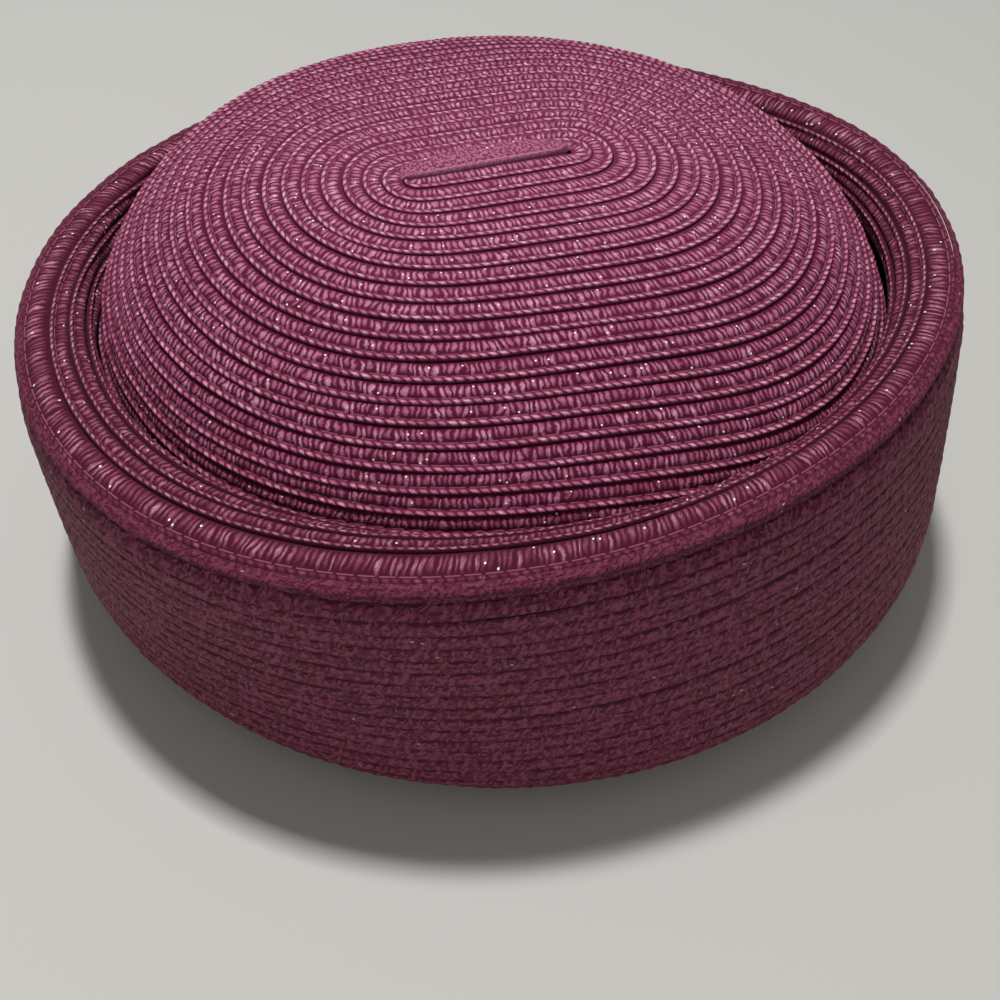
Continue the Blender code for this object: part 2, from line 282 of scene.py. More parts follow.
def uneven(place, drift, seed=0):
    """Smooth noise along one line, between minus and plus the drift's size."""
    random = np.random.default_rng(seed + drift.seed)
    knots = random.uniform(-drift.size, drift.size, DRIFT_KNOTS)
    place = np.asarray(place) / drift.length
    start = np.floor(place).astype(int)
    share = smooth_step(place - start)
    return knots[start % DRIFT_KNOTS] * (1 - share) + knots[(start + 1) % DRIFT_KNOTS] * share


class Chart:
    """One face of the hat: the point that is so many rows down it and so far round it."""

    def __init__(self, lines, row_lengths):
        """lines are points down the face by angle; row_lengths gives (row, length) for them."""
        steps = np.linalg.norm(np.diff(lines, axis=0), axis=2)
        lengths = np.vstack([np.zeros(steps.shape[1]), np.cumsum(steps, axis=0)])
        self.rows, wanted = row_lengths(lengths[-1])
        self.grid = np.empty(wanted.shape + (3,))
        for column in range(lengths.shape[1]):
            for axis in range(3):
                line = lines[:, column, axis]
                self.grid[:, column, axis] = np.interp(wanted[:, column], lengths[:, column], line)
        down = np.gradient(self.grid, axis=0)
        after = np.roll(self.grid, -1, axis=1)
        before = np.roll(self.grid, 1, axis=1)
        self.normal = np.cross(down, after - before)
        self.normal /= np.maximum(np.linalg.norm(self.normal, axis=2), 1e-12)[..., None]

    def at(self, row, angle):
        """The point and the outward normal at a row and an angle."""
        row = (np.asarray(row) - self.rows[0]) * CHART_ROW_STEPS
        row = np.clip(row, 0, len(self.rows) - 1.001)
        turn = (np.asarray(angle) / FULL_TURN % 1.0) * CHART_ANGLES
        above = row.astype(int)
        before = turn.astype(int) % CHART_ANGLES
        after = (before + 1) % CHART_ANGLES
        down = (row - above)[..., None]
        on = (turn - np.floor(turn))[..., None]

        def blend(field):
            upper = field[above, before] * (1 - on) + field[above, after] * on
            lower = field[above + 1, before] * (1 - on) + field[above + 1, after] * on
            return upper * (1 - down) + lower * down

        normal = blend(self.normal)
        normal /= np.maximum(np.linalg.norm(normal, axis=-1), 1e-9)[..., None]
        return blend(self.grid), normal


def chart_angles():
    return np.arange(CHART_ANGLES) * FULL_TURN / CHART_ANGLES


def crown_stretch(angle):
    """How much wider than usual the crown's rows are in each direction."""
    nearness = (1 + np.cos(angle - CROWN_STRETCH_AT)) / 2
    return 1 + CROWN_STRETCH * nearness ** CROWN_STRETCH_POWER


def sewn_rows(first, rows, even_rows, stretch=1.0):
    """Row widths: the first ones as listed, then even ones, and the rest share what is left."""

    def row_lengths(total):
        samples = np.arange(rows * CHART_ROW_STEPS + 1)[:, None] / CHART_ROW_STEPS
        starts = np.concatenate([[0.0], np.cumsum(first)])
        even_end = starts[-1] + (even_rows - len(first)) * ROW
        knots = list(range(len(first) + 1)) + [even_rows]
        near = np.interp(samples, knots, list(starts) + [even_end]) * stretch
        far = (samples - even_rows) / max(rows - even_rows, 1)
        beyond = even_end * stretch + far * (total - even_end * stretch)
        return samples[:, 0], np.where(samples <= even_rows, near + 0 * total, beyond)

    return row_lengths


def dome(turn, angle):
    along = np.tanh(SLIT_SHARPNESS * np.cos(angle)) / math.tanh(SLIT_SHARPNESS)
    slit_x = SLIT.x + SLIT.half_x * along
    wide_x, wide_y = oval_points(CROWN_WIDEST, angle)
    spread = np.sin(turn) ** (2 / CROWN_SPREAD)
    rise = np.cos(turn) ** (2 / CROWN_DROP)
    x = slit_x + (wide_x - slit_x) * spread
    y = SLIT.y + (wide_y - SLIT.y) * spread
    return points(x, y, CROWN_WIDEST_Z + (CROWN_TOP_Z - CROWN_WIDEST_Z) * rise)


def crown_lines(angle):
    """Points down the crown's outer face, over its widest line to the seam with the brim."""
    turn = np.linspace(0.0, math.pi / 2, DOME_SAMPLES)[:, None]
    upper = dome(turn, angle[None, :])
    share = np.linspace(0.0, 1.0, SKIRT_SAMPLES)[1:, None]
    wide_x, wide_y = oval_points(CROWN_WIDEST, angle)
    head_x, head_y = oval_points(HEAD, angle, WALL)
    ease = smooth_step(share)
    level = CROWN_WIDEST_Z + (JOINT_Z - CROWN_WIDEST_Z) * share
    lower = points(wide_x + (head_x - wide_x) * ease, wide_y + (head_y - wide_y) * ease, level)
    return np.concatenate([upper, lower])


class Cuff:
    """The turned-up brim, from the top of its straight wall down to where it rests."""

    STEPS = 240

    def __init__(self, angle):
        self.angle = angle
        lean = add_waves(LEAN_WAVES, angle)
        self.rise = 1 + add_waves(HEIGHT_WAVES, angle)
        self.top_slope = CUFF_ANGLE_TOP - lean
        self.low_slope = CUFF_ANGLE_LOW - lean
        self.length = CUFF_LENGTH + FOLD_RADIUS * (math.pi - self.low_slope)
        self.lengths = np.linspace(0, 1, self.STEPS)[:, None] * self.length
        middle = (self.lengths[1:] + self.lengths[:-1]) / 2
        step = np.diff(self.lengths, axis=0)
        start = np.zeros((1, len(angle)))
        out = np.vstack([start, np.cumsum(step * np.cos(self.slope(middle)), axis=0)])
        down = np.vstack([start, np.cumsum(step * np.sin(self.slope(middle)), axis=0)])
        self.out = out - out[-1]
        self.up = down[-1] - down

    def slope(self, length):
        share = np.clip(length / CUFF_LENGTH, 0.0, 1.0)
        straight = self.top_slope + (self.low_slope - self.top_slope) * share
        return straight + np.maximum(length - CUFF_LENGTH, 0.0) / FOLD_RADIUS

    def ring(self, length, inset=0.0):
        """The line at a length down the outer face, set in from it by inset."""
        length = np.broadcast_to(length, self.angle.shape)
        on_face = np.clip(length, 0.0, self.length)
        columns = range(len(self.angle))
        out = np.array([np.interp(on_face[i], self.lengths[:, i], self.out[:, i]) for i in columns])
        up = np.array([np.interp(on_face[i], self.lengths[:, i], self.up[:, i]) for i in columns])
        slope = self.slope(length)
        beyond = np.minimum(length, 0.0)
        out = out + beyond * np.cos(slope) - inset * np.sin(slope)
        up = up - beyond * np.sin(slope) - inset * np.cos(slope)
        x, y = oval_points(REST, self.angle, out)
        return points(x + CUFF_SWAY[0] * up, y + CUFF_SWAY[1] * up, up * self.rise)


def wall_inset(length):
    """How far the wall's face hangs back under the rolled edge."""
    return WALL_TOP_INSET * (1 - smooth_step((length - WALL_TOP) / WALL_CATCH_UP))


def head_fold_ring(turn, grow, lift, angle):
    """The fold between the resting ring and the head opening, on one side of the straw."""
    from_x, from_y = oval_points(REST, angle, -REST_WIDTH)
    to_x, to_y = oval_points(HEAD, angle, grow)
    share = math.sin(turn)
    level = lift + (HEAD_FOLD_HEIGHT - lift) * (1 - math.cos(turn))
    return points(from_x + (to_x - from_x) * share, from_y + (to_y - from_y) * share, level)


def lower_brim_lines(cuff, angle, depth):
    """Points down the cuff's wall at a depth in its straw, round the fold and up to the seam."""
    lines = []
    for share in np.linspace(0.0, 1.0, WALL_SAMPLES):
        length = WALL_TOP + (cuff.length - WALL_TOP) * share
        lines.append(cuff.ring(length, wall_inset(length) + depth))
    for turn in np.linspace(0.0, math.pi / 2, HEAD_FOLD_SAMPLES):
        lines.append(head_fold_ring(turn, depth, depth, angle))
    seam_x, seam_y = oval_points(HEAD, angle, depth)
    lines.append(points(seam_x, seam_y, JOINT_Z - GAP))
    return lines


def seam_line(angle):
    """Where the brim's last row ends, inside the crown that it is sewn to."""
    x, y = oval_points(HEAD, angle, SEAM_OPENS)
    return points(x, y, JOINT_Z + SEAM_OVERLAP)


def edge_lines(cuff, angle):
    """Points over the rolled edge, from its hem on the outside to the end of its shoulder."""
    top = EDGE_TOP_INSET + add_waves(EDGE_TOP_WAVES, angle)
    reach = np.maximum(SHOULDER_REACH + add_waves(SHOULDER_REACH_WAVES, angle), SHOULDER_LEAST)
    lines = []
    for turn in np.linspace(EDGE_FLAP_TURN, 0.0, FLAP_SAMPLES):
        lines.append(cuff.ring(-EDGE_ROUND * math.cos(turn), top * (1 - math.sin(turn))))
    for turn in np.linspace(0.0, SHOULDER_TURN, SHOULDER_SAMPLES)[1:]:
        across = math.sin(turn) ** (2 / SHOULDER_POWER)
        down = 1 - math.cos(turn) ** (2 / SHOULDER_POWER)
        lines.append(cuff.ring(SHOULDER_DROP * reach * down - EDGE_ROUND, top + reach * across))
    end = SHOULDER_DROP * reach - EDGE_ROUND
    beyond = SHOULDER_END * smooth_step((reach - SHOULDER_LEAST) / SHOULDER_LEAST)
    lines.append(cuff.ring(end + SHOULDER_END_DOWN / 2, top + reach + beyond * SHOULDER_END_BEND))
    lines.append(cuff.ring(end + SHOULDER_END_DOWN, top + reach + beyond))
    return lines


class Rows:
    """The course of the braid on a chart: a spiral that climbs so many rows a turn, or rings."""

    DENSE = 1440          # steps round the hat in which the length of a row is measured
    LEAST_STEPS = 8
    LEAST_REPEATS = 4

    def __init__(self, chart, first, last, climb, start_angle=0.0):
        self.chart = chart
        self.first = first
        self.climb = climb
        self.start_angle = start_angle
        self.count = int(round(last - first))
        self.repeats = []
        share = np.arange(self.DENSE + 1) / self.DENSE
        for row in range(self.count):
            middle, _ = chart.at(self.row_at(row, share) + 0.5, self.angle_at(share))
            length = np.linalg.norm(np.diff(middle, axis=0), axis=1).sum()
            self.repeats.append(max(int(round(length / REPEAT / 2)) * 2, self.LEAST_REPEATS))

    def row_at(self, row, share):
        """Where the braid's tucked side lies, at a share of its turn round the hat."""
        return self.first + row + self.climb * share

    def angle_at(self, share):
        return self.start_angle + FULL_TURN * share

    def columns(self, begin, end, spacing):
        """Turn shares, row numbers and stitch counts of the columns of rows begin to end."""
        shares, numbers, stitches = [], [], []
        share = np.arange(self.DENSE + 1) / self.DENSE
        for row in range(begin, end):
            middle, _ = self.chart.at(self.row_at(row, share) + 0.5, self.angle_at(share))
            steps = np.linalg.norm(np.diff(middle, axis=0), axis=1)
            lengths = np.concatenate([[0.0], np.cumsum(steps)])
            steps_wanted = max(int(round(lengths[-1] / spacing)), self.LEAST_STEPS)
            even = np.linspace(0.0, 1.0, steps_wanted + 1)
            shares.append(np.interp(even, lengths / lengths[-1], share))
            numbers.append(np.full(len(even), row))
            stitches.append(sum(self.repeats[:row]) + even * self.repeats[row])
        return shares, numbers, stitches

    def runs(self, shares, numbers, stitches):
        """The columns of each closed ring, or of the whole spiral as one run."""
        if self.climb == 0:
            return list(zip(shares, numbers, stitches))
        fields = []
        for field in (shares, numbers, stitches):
            joined = [part[:-1] for part in field[:-1]]
            fields.append(np.concatenate(joined + [field[-1]]))
        return [fields]


def stitch_relief(across, stitch, seed):
    """How far the braid stands off the straw, with the lumps of its cord and its loops."""
    share, height, cord, loops = (np.array(column)[None, :] for column in zip(*across))
    lump = np.cos(FULL_TURN * (LUMPS_A_REPEAT * stitch + LUMP_SLANT * share))
    lump = lump * (LUMP_SHARE + uneven(stitch, LUMP_SIZE, seed)) + uneven(stitch, LUMP_HEIGHT, seed)
    loop = np.cos(FULL_TURN * stitch) + uneven(stitch, LOOP_HEIGHT, seed)
    rise = height * MILLIMETRE * (1 + uneven(stitch, RELIEF_SIZE, seed))
    return rise + cord * CORD_LIFT * lump + loops * LOOP_LIFT * loop


def lay_braid(name, rows, begin, end, across, spacing, seed, lift=0.0, side=1.0, cord_first=False):
    """Makes rows begin to end of a course as one mesh of strips in relief.

    side is -1 where the braid faces away from the chart's own outside. cord_first turns the
    rows round, so that the cord lies on the side where the chart's rows are counted from.
    """
    shares, numbers, stitches = rows.columns(begin, end, spacing)
    place = np.array([point.share for point in across])
    down = (1 - place if cord_first else place)[None, :]
    turned = (side < 0) != cord_first
    verts, uvs, faces, start = [], [], [], 0
    for share, number, stitch in rows.runs(shares, numbers, stitches):
        ring = rows.climb == 0
        count = len(share) - ring
        on_share, on_stitch = share[:count, None], stitch[:count, None]
        settle = smooth_step(1 - ring * np.abs(2 * on_share - 1) ** SETTLE_POWER)
        sway = settle * uneven(on_stitch, ROW_SWAY, seed)
        row = rows.row_at(number[:count, None], on_share) + sway
        point, normal = rows.chart.at(row + down, rows.angle_at(on_share) + 0 * down)
        rise = stitch_relief(across, on_stitch, seed)
        if rows.climb:
            relief = smooth_step(number[:count, None] / FULL_RELIEF_ROW)
            rise = rise * (FLATTER_AT_START + (1 - FLATTER_AT_START) * relief)
        verts.append((point + normal * (side * (lift + rise))[..., None]).reshape(-1, 3))
        quads, corners = grid(count, len(across), ring, stitch, number, place, turned)
        faces.append(quads + start)
        uvs.append(corners)
        start += rise.size
    verts = np.concatenate(verts) + np.array(SHIFT)
    return make_mesh(name, verts, np.concatenate(faces), np.concatenate(uvs))


def grid(columns, across, ring, stitch, number, share, turned):
    """Quads of a grid of points, columns first, with each corner's place in its row."""
    here = np.arange(columns if ring else columns - 1)[:, None]
    step = np.arange(across - 1)[None, :]
    first = here * across + step
    after = (here + 1) % columns * across + step
    quads = np.stack([first, first + 1, after + 1, after], axis=-1)
    share = np.clip(share, INSIDE_ROW, 1 - INSIDE_ROW)
    corner_stitches = [stitch[here] + 0 * step] * 2 + [stitch[here + 1] + 0 * step] * 2
    corner_shares = [share[step], share[step + 1], share[step + 1], share[step]]
    u = np.stack(corner_stitches, axis=-1)
    v = number[here][..., None] + np.stack(corner_shares, axis=-1)
    corners = np.stack([u, np.broadcast_to(v, u.shape)], axis=-1)
    if turned:
        quads, corners = quads[..., ::-1], corners[..., ::-1, :]
    return quads.reshape(-1, 4), corners.reshape(-1, 2)


def make_mesh(name, verts, quads, uvs):
    mesh = bpy.data.meshes.new(name)
    mesh.vertices.add(len(verts))
    mesh.vertices.foreach_set("co", verts.astype(np.float32).ravel())
    mesh.loops.add(quads.size)
    mesh.loops.foreach_set("vertex_index", quads.astype(np.int32).ravel())
    mesh.polygons.add(len(quads))
    mesh.polygons.foreach_set("loop_start", np.arange(0, quads.size, 4, dtype=np.int32))
    mesh.update(calc_edges=True)
    layer = mesh.uv_layers.new(name="Stitches")
    layer.data.foreach_set("uv", uvs.astype(np.float32).ravel())
    mesh.shade_smooth()
    piece = bpy.data.objects.new(name, mesh)
    bpy.context.scene.collection.objects.link(piece)
    return piece


class Number:
    """A number that varies over the surface, worked out by a chain of material nodes."""

    def __init__(self, tree, socket):
        self.tree = tree
        self.socket = socket

    def math(self, operation, *others):
        node = self.tree.nodes.new("ShaderNodeMath")
        node.operation = operation
        for place, value in enumerate((self, *others)):
            if isinstance(value, Number):
                self.tree.links.new(value.socket, node.inputs[place])
            else:
                node.inputs[place].default_value = value
        return Number(self.tree, node.outputs[0])

    def __add__(self, other):
        return self.math("ADD", other)

    def __sub__(self, other):
        return self.math("SUBTRACT", other)

    def __mul__(self, other):
        return self.math("MULTIPLY", other)

    def __truediv__(self, other):
        return self.math("DIVIDE", other)

    def fraction(self):
        return self.math("FRACT")

    def whole(self):
        return self.math("FLOOR")

    def squared(self):
        return self.math("MULTIPLY", self)

    def most(self, other):
        return self.math("MAXIMUM", other)

    def off(self, middle):
        """How far it is from a middle value."""
        return self.math("SUBTRACT", middle).math("ABSOLUTE")

    def between(self, low, high, from_value=0.0, to_value=1.0):
        """Eases from one value to the other as this number goes from low to high."""
        node = self.tree.nodes.new("ShaderNodeMapRange")
        node.interpolation_type = "SMOOTHSTEP"
        self.tree.links.new(self.socket, node.inputs["Value"])
        node.inputs["From Min"].default_value = low
        node.inputs["From Max"].default_value = high
        node.inputs["To Min"].default_value = from_value
        node.inputs["To Max"].default_value = to_value
        return Number(self.tree, node.outputs["Result"])


class Straw:
    """A straw material in the making, with the row coordinates that its stitches follow."""

    def __init__(self, name):
        self.material = bpy.data.materials.new(name)
        self.material.use_nodes = True
        self.tree = self.material.node_tree
        self.shader = self.tree.nodes["Principled BSDF"]
        where = self.tree.nodes.new("ShaderNodeUVMap")
        where.uv_map = "Stitches"
        parts = self.tree.nodes.new("ShaderNodeSeparateXYZ")
        self.tree.links.new(where.outputs["UV"], parts.inputs["Vector"])
        self.along = Number(self.tree, parts.outputs["X"])
        rows = Number(self.tree, parts.outputs["Y"])
        self.across = rows.fraction()
        self.row = rows.whole()

    def vector(self, x, y, z=0.0):
        node = self.tree.nodes.new("ShaderNodeCombineXYZ")
        for place, value in enumerate((x, y, z)):
            if isinstance(value, Number):
                self.tree.links.new(value.socket, node.inputs[place])
            else:
                node.inputs[place].default_value = value
        return node.outputs["Vector"]

    def noise(self, x, y, detail=2.0):
        """Soft noise from 0 to 1, on coordinates that give its size."""
        node = self.tree.nodes.new("ShaderNodeTexNoise")
        node.inputs["Scale"].default_value = 1.0
        node.inputs["Detail"].default_value = detail
        self.tree.links.new(self.vector(x, y, self.row * 7.3), node.inputs["Vector"])
        return Number(self.tree, node.outputs["Fac"])

    def chance(self, x, y):
        """A fixed random number from 0 to 1 for each cell."""
        node = self.tree.nodes.new("ShaderNodeTexWhiteNoise")
        node.noise_dimensions = "2D"
        self.tree.links.new(self.vector(x, y), node.inputs["Vector"])
        return Number(self.tree, node.outputs["Value"])

    def ramp(self, value, *stops):
        """A colour by value; each stop is (value, colour)."""
        node = self.tree.nodes.new("ShaderNodeValToRGB")
        steps = node.color_ramp.elements
        while len(steps) < len(stops):
            steps.new(0.5)
        for step, (place, colour) in zip(steps, stops):
            step.position = place
            step.color = (*colour, 1.0)
        self.tree.links.new(value.socket, node.inputs["Fac"])
        return node.outputs["Color"]

    def mix(self, share, first, second):
        """Colour first where share is 0, second where it is 1."""
        node = self.tree.nodes.new("ShaderNodeMix")
        node.data_type = "RGBA"
        self.tree.links.new(share.socket, node.inputs["Factor"])
        for socket, colour in ((node.inputs[6], first), (node.inputs[7], second)):
            if isinstance(colour, tuple):
                socket.default_value = (*colour, 1.0)
            else:
                self.tree.links.new(colour, socket)
        return node.outputs[2]

    def finish(self, colour, height, depth, roughness, shine):
        """Sets the shader. depth is the bump's, in metres."""
        self.tree.links.new(colour, self.shader.inputs["Base Color"])
        self.tree.links.new(roughness.socket, self.shader.inputs["Roughness"])
        self.shader.inputs["Specular IOR Level"].default_value = shine
        self.shader.inputs["Specular Tint"].default_value = SHEEN_TINT
        bump = self.tree.nodes.new("ShaderNodeBump")
        bump.inputs["Strength"].default_value = 1.0
        bump.inputs["Distance"].default_value = depth
        self.tree.links.new(height.socket, bump.inputs["Height"])
        self.tree.links.new(bump.outputs["Normal"], self.shader.inputs["Normal"])
        return self.material


# Colours of the straw, from its gaps to its lightest loops. On the right side the dark of the gaps
# is painted shade and the lightest colours are painted highlight, with the straw's own colour
# between
CROWN_COLOURS = (
    (0.070, 0.001, 0.018),
    (0.190, 0.024, 0.068),
    (0.450, 0.140, 0.245),
    (0.820, 0.420, 0.560),
)
EDGE_COLOURS = (
    (0.055, 0.002, 0.015),
    (0.170, 0.027, 0.062),
    (0.430, 0.148, 0.235),
    (0.750, 0.405, 0.520),
)
REVERSE_COLOURS = (
    (0.045, 0.001, 0.010),
    (0.140, 0.018, 0.046),
    (0.285, 0.069, 0.122),
)
RIGHT_STOPS = (0.0, 0.26, 0.58, 0.96)     # how far the straw is raised where it has each colour
PLAIN_STOPS = (0.0, 0.30, 0.62, 1.0)
REVERSE_STOPS = (0.0, 0.45, 1.0)
THREAD_COLOUR = (0.330, 0.085, 0.145)
PAINTED_GLINT_COLOUR = (1.0, 0.88, 0.92)
SHEEN_TINT = (1.0, 0.80, 0.90, 1.0)       # the straw mirrors light in this colour
SHINE = 0.40
REVERSE_SHINE = 0.28
# The hem row under the rolled edge is painted darker than the rest of the reverse, as painted shade.
HEM_SHADE_LIGHTNESS = 0.72          # the hem row is this light against the rest of the reverse
RIGHT_BUMP = 0.0007       # depth of the stitches that the materials draw, in metres
PLAIN_BUMP = 0.0005
REVERSE_BUMP = 0.0006

# Glints: painted highlights, white spots in the colour where the metallic thread would catch the
# light, their size as a share of a cell and of a row
GLINT_CELLS = 3.0         # cells in a repeat, of which a few have a glint
REVERSE_GLINT_CELLS = 2.0
GLINT_LENGTH = 0.20
GLINT_WIDTH = 0.05

# Where the loops and the cord lie across a row, how light they are (a cord lighter than its loops is
# painted highlight) and how rare glints are. The crown's first rows are painted lighter, as painted
# light from above, and its last ones darker, as painted shade low on the crown beside the cuff.
Look = namedtuple("Look", [
    "loops_at", "loops_half", "loops_light", "loops_lean",
    "cord_at", "cord_half", "cord_light",
    "no_glint", "contrast", "worn", "last",
])
CROWN_LOOK = Look(0.36, 0.31, 0.94, 1.1, 0.85, 0.14, 1.16, 0.91, 1.0, 0.11, 0.74)
# The shoulder's loops are painted darker than the crown's, as painted shade in the hollow between
# cuff and crown.
SHADED_SHOULDER_LOOK = Look(0.36, 0.31, 0.74, 1.1, 0.85, 0.12, 1.10, 0.90, 1.2, 0.0, 1.0)
EDGE_LOOK = Look(0.40, 0.38, 0.98, 1.0, 0.93, 0.10, 0.70, 0.86, 1.6, 0.0, 1.0)
LIT_TOP_ROWS = (2.0, 14.0)
SHADED_LOW_ROWS = (14.0, 21.0)


def glints(straw, cells_a_repeat, at, half, share_without):
    """Painted highlights: small white spots where the metallic thread would glint, in a few of the
    cells.
    """
    cell = straw.along * cells_a_repeat
    spark = straw.chance(cell.whole(), straw.row + 0.25)
    level = straw.chance(cell.whole(), straw.row + 0.65) * (2 * half) + (at - half)
    spark_x = (cell.fraction() - 0.5) / GLINT_LENGTH
    spark_y = (straw.across - level) / GLINT_WIDTH
    glint = (spark_x.squared() + spark_y.squared()).between(0.5, 1.3, 1.0, 0.0)
    return glint * spark.between(share_without, share_without + 0.002)


def knitted_loops(straw, look, wander):
    """Loops across the row, in groups of three with a darker gap of painted shade, each lighter or
    darker, and painted lightest at their middles.
    """
    lean = straw.noise(straw.along * 1.7, straw.across * 2.4) - 0.5
    place = straw.along * LOOPS_A_REPEAT + wander * 2.4 + lean * look.loops_lean
    in_loop = (place.fraction() - 0.5) * 2.0
    chance = straw.chance(place.whole(), straw.row)
    middle = (straw.across - look.loops_at - (chance - 0.5) * 0.16) / look.loops_half
    loop = (in_loop.squared() + middle.squared()) * -1.0 + 1.0
    group = (place / LOOPS_A_REPEAT).fraction().off(0.5).between(0.36, 0.47, 1.0, 0.15)
    loop = loop.most(0.0).math("POWER", 0.7) * chance.between(0.0, 1.0, 0.60, 1.0) * group
    return loop * look.loops_light


def twisted_cord(straw, look, wander):
    """The cord along the row, in slanting lumps painted lightest at their middles, with narrow dark
    gaps of painted shade between them.
    """
    twist = straw.along * LUMPS_A_REPEAT + straw.across * LUMP_SLANT + wander * 0.9
    in_lump = (twist.fraction() - 0.5) * 2.0
    chance = straw.chance(twist.whole(), straw.row + 0.5)
    rounded = ((straw.across - look.cord_at) / look.cord_half).squared() * -1.0 + 1.0
    cord = rounded.most(0.0).math("POWER", 0.7) * in_lump.off(0.0).between(0.30, 1.0, 1.0, 0.20)
    return cord * chance.between(0.0, 1.0, 0.60, 1.0) * look.cord_light


def sewing_thread(straw, look, wander):
    """Long stitches with short gaps, beside the cord."""
    line_at = look.cord_at - look.cord_half - 0.03
    line = straw.across.off(line_at).between(0.015, 0.035, 1.0, 0.0)
    stitch = (straw.along + straw.row * 0.37 + wander * 0.5).fraction()
    return line * stitch.between(0.78, 0.84, 1.0, 0.0)


def right_side(name, look, colours):
    """The braid's right side: a band of loops, a line of sewing thread and a twisted cord."""
    straw = Straw(name)
    along, across = straw.along, straw.across
    wander = straw.noise(along * 0.8, across * 0.5) - 0.5
    fibre = straw.noise(along * 15.0 + across * 6.0, across * 6.0, 3.0)
    patch = straw.noise(along * 0.9, across * 1.3 + 5.0, 2.0)
    thread = sewing_thread(straw, look, wander)

    raised = knitted_loops(straw, look, wander).most(twisted_cord(straw, look, wander))
    raised = raised * fibre.between(0.25, 0.75, 0.66, 1.0) * patch.between(0.3, 0.7, 0.78, 1.08)
    # Painted shade: the row is darkened where it tucks under its neighbour's cord.
    raised = raised * across.between(0.0, 0.09)
    # Painted shade: the crown's last rows are darkened towards the cuff.
    raised = raised.math("POWER", look.contrast) * straw.row.between(*SHADED_LOW_ROWS, 1.0, look.last)
    # Painted light: the crown's first rows are lightened, as if lit from above.
    worn = straw.row.between(*LIT_TOP_ROWS, look.worn, 0.0)
    raised = raised + (raised * -1.0 + 1.0) * worn

    glint = glints(straw, GLINT_CELLS, look.loops_at, look.loops_half * 0.8, look.no_glint)
    colour = straw.ramp(raised, *zip(RIGHT_STOPS, colours))
    colour = straw.mix(thread * 0.75, colour, THREAD_COLOUR)
    colour = straw.mix(glint, colour, PAINTED_GLINT_COLOUR)
    height = (raised + thread * 0.3).most(glint)
    roughness = raised.between(0.1, 0.6, 0.90, 0.40) + fibre * 0.15
    return straw.finish(colour, height, RIGHT_BUMP, roughness, SHINE)


def plain_side(name):
    """Flattened braid, where only a fine weave shows."""
    straw = Straw(name)
    along, across = straw.along, straw.across
    weave = straw.noise(along * 6.0, across * 9.0, 1.0)
    fibre = straw.noise(along * 9.0, across * 22.0, 3.0)
    cord = across.between(0.78, 0.84)
    raised = weave.between(0.35, 0.60, 0.24, 0.64) * fibre.between(0.25, 0.75, 0.70, 1.0)
    raised = raised.most(cord * fibre.between(0.2, 0.8, 0.45, 0.75))
    raised = raised * across.off(0.77).between(0.01, 0.04, 0.45, 1.0)
    colour = straw.ramp(raised, *zip(PLAIN_STOPS, CROWN_COLOURS))
    glint = glints(straw, GLINT_CELLS, 0.25, 0.20, 0.85)
    colour = straw.mix(glint * 0.7, colour, PAINTED_GLINT_COLOUR)
    return straw.finish(colour, raised, PLAIN_BUMP, fibre.between(0.2, 0.8, 0.42, 0.62), SHINE)


def reverse_marks(straw):
    """Dark marks on the reverse: dashes between the rows, ticks across and a second line."""
    along, across = straw.along, straw.across
    warp = straw.noise(along * 1.6, across * 2.0) - 0.5
    wave = (along * FULL_TURN).math("SINE") * 0.05 + (straw.noise(along * 2.2, 0.3) - 0.5) * 0.20
    from_line = (across + 0.5 + wave).fraction().off(0.5)
    dash = straw.noise(along * 2.4, 0.5, 1.0).between(0.40, 0.52, 0.10, 1.0)
    line = from_line.between(0.04, 0.17, 1.0, 0.0) * dash
    place = along * LOOPS_A_REPEAT * 0.75 + warp * 2.2 + across * 0.6
    tick_chance = straw.chance(place.whole(), straw.row + 0.4).between(0.25, 0.35)
    tick = place.fraction().off(0.5).between(0.33, 0.46)
    tick = tick * from_line.between(0.26, 0.48, 1.0, 0.0) * tick_chance
    second = (across + warp * 0.3).fraction().off(0.46).between(0.03, 0.10, 1.0, 0.0)
    second = second * straw.noise(along * 2.7 + 4.0, 0.8, 1.0).between(0.52, 0.60)
    return line.most(tick * 0.9).most(second * 0.75)


def reverse_side(name, light):
    """The braid's reverse: flat blotchy rows between lines of short dark dashes."""
    straw = Straw(name)
    along, across = straw.along, straw.across
    fibre = straw.noise(along * 6.0, across * 14.0, 3.0)
    blotch = straw.noise(along * 3.4 + 9.0, across * 2.8, 2.0)
    raised = blotch.between(0.36, 0.58, 0.45, 1.0) * fibre.between(0.2, 0.8, 0.70, 1.0)
    # light below 1 darkens the whole row: painted shade, for the hem under the rolled edge.
    raised = raised * (reverse_marks(straw) * -0.92 + 1.0) * light
    colour = straw.ramp(raised, *zip(REVERSE_STOPS, REVERSE_COLOURS))
    glint = glints(straw, REVERSE_GLINT_CELLS, 0.5, 0.25, 0.985)
    colour = straw.mix(glint * 0.45, colour, PAINTED_GLINT_COLOUR)
    roughness = fibre.between(0.2, 0.8, 0.60, 0.80)
    return straw.finish(colour, raised, REVERSE_BUMP, roughness, REVERSE_SHINE)


def dress(piece, material, node):
    piece.data.materials.append(material)
    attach(piece, "root")
    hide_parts(node)


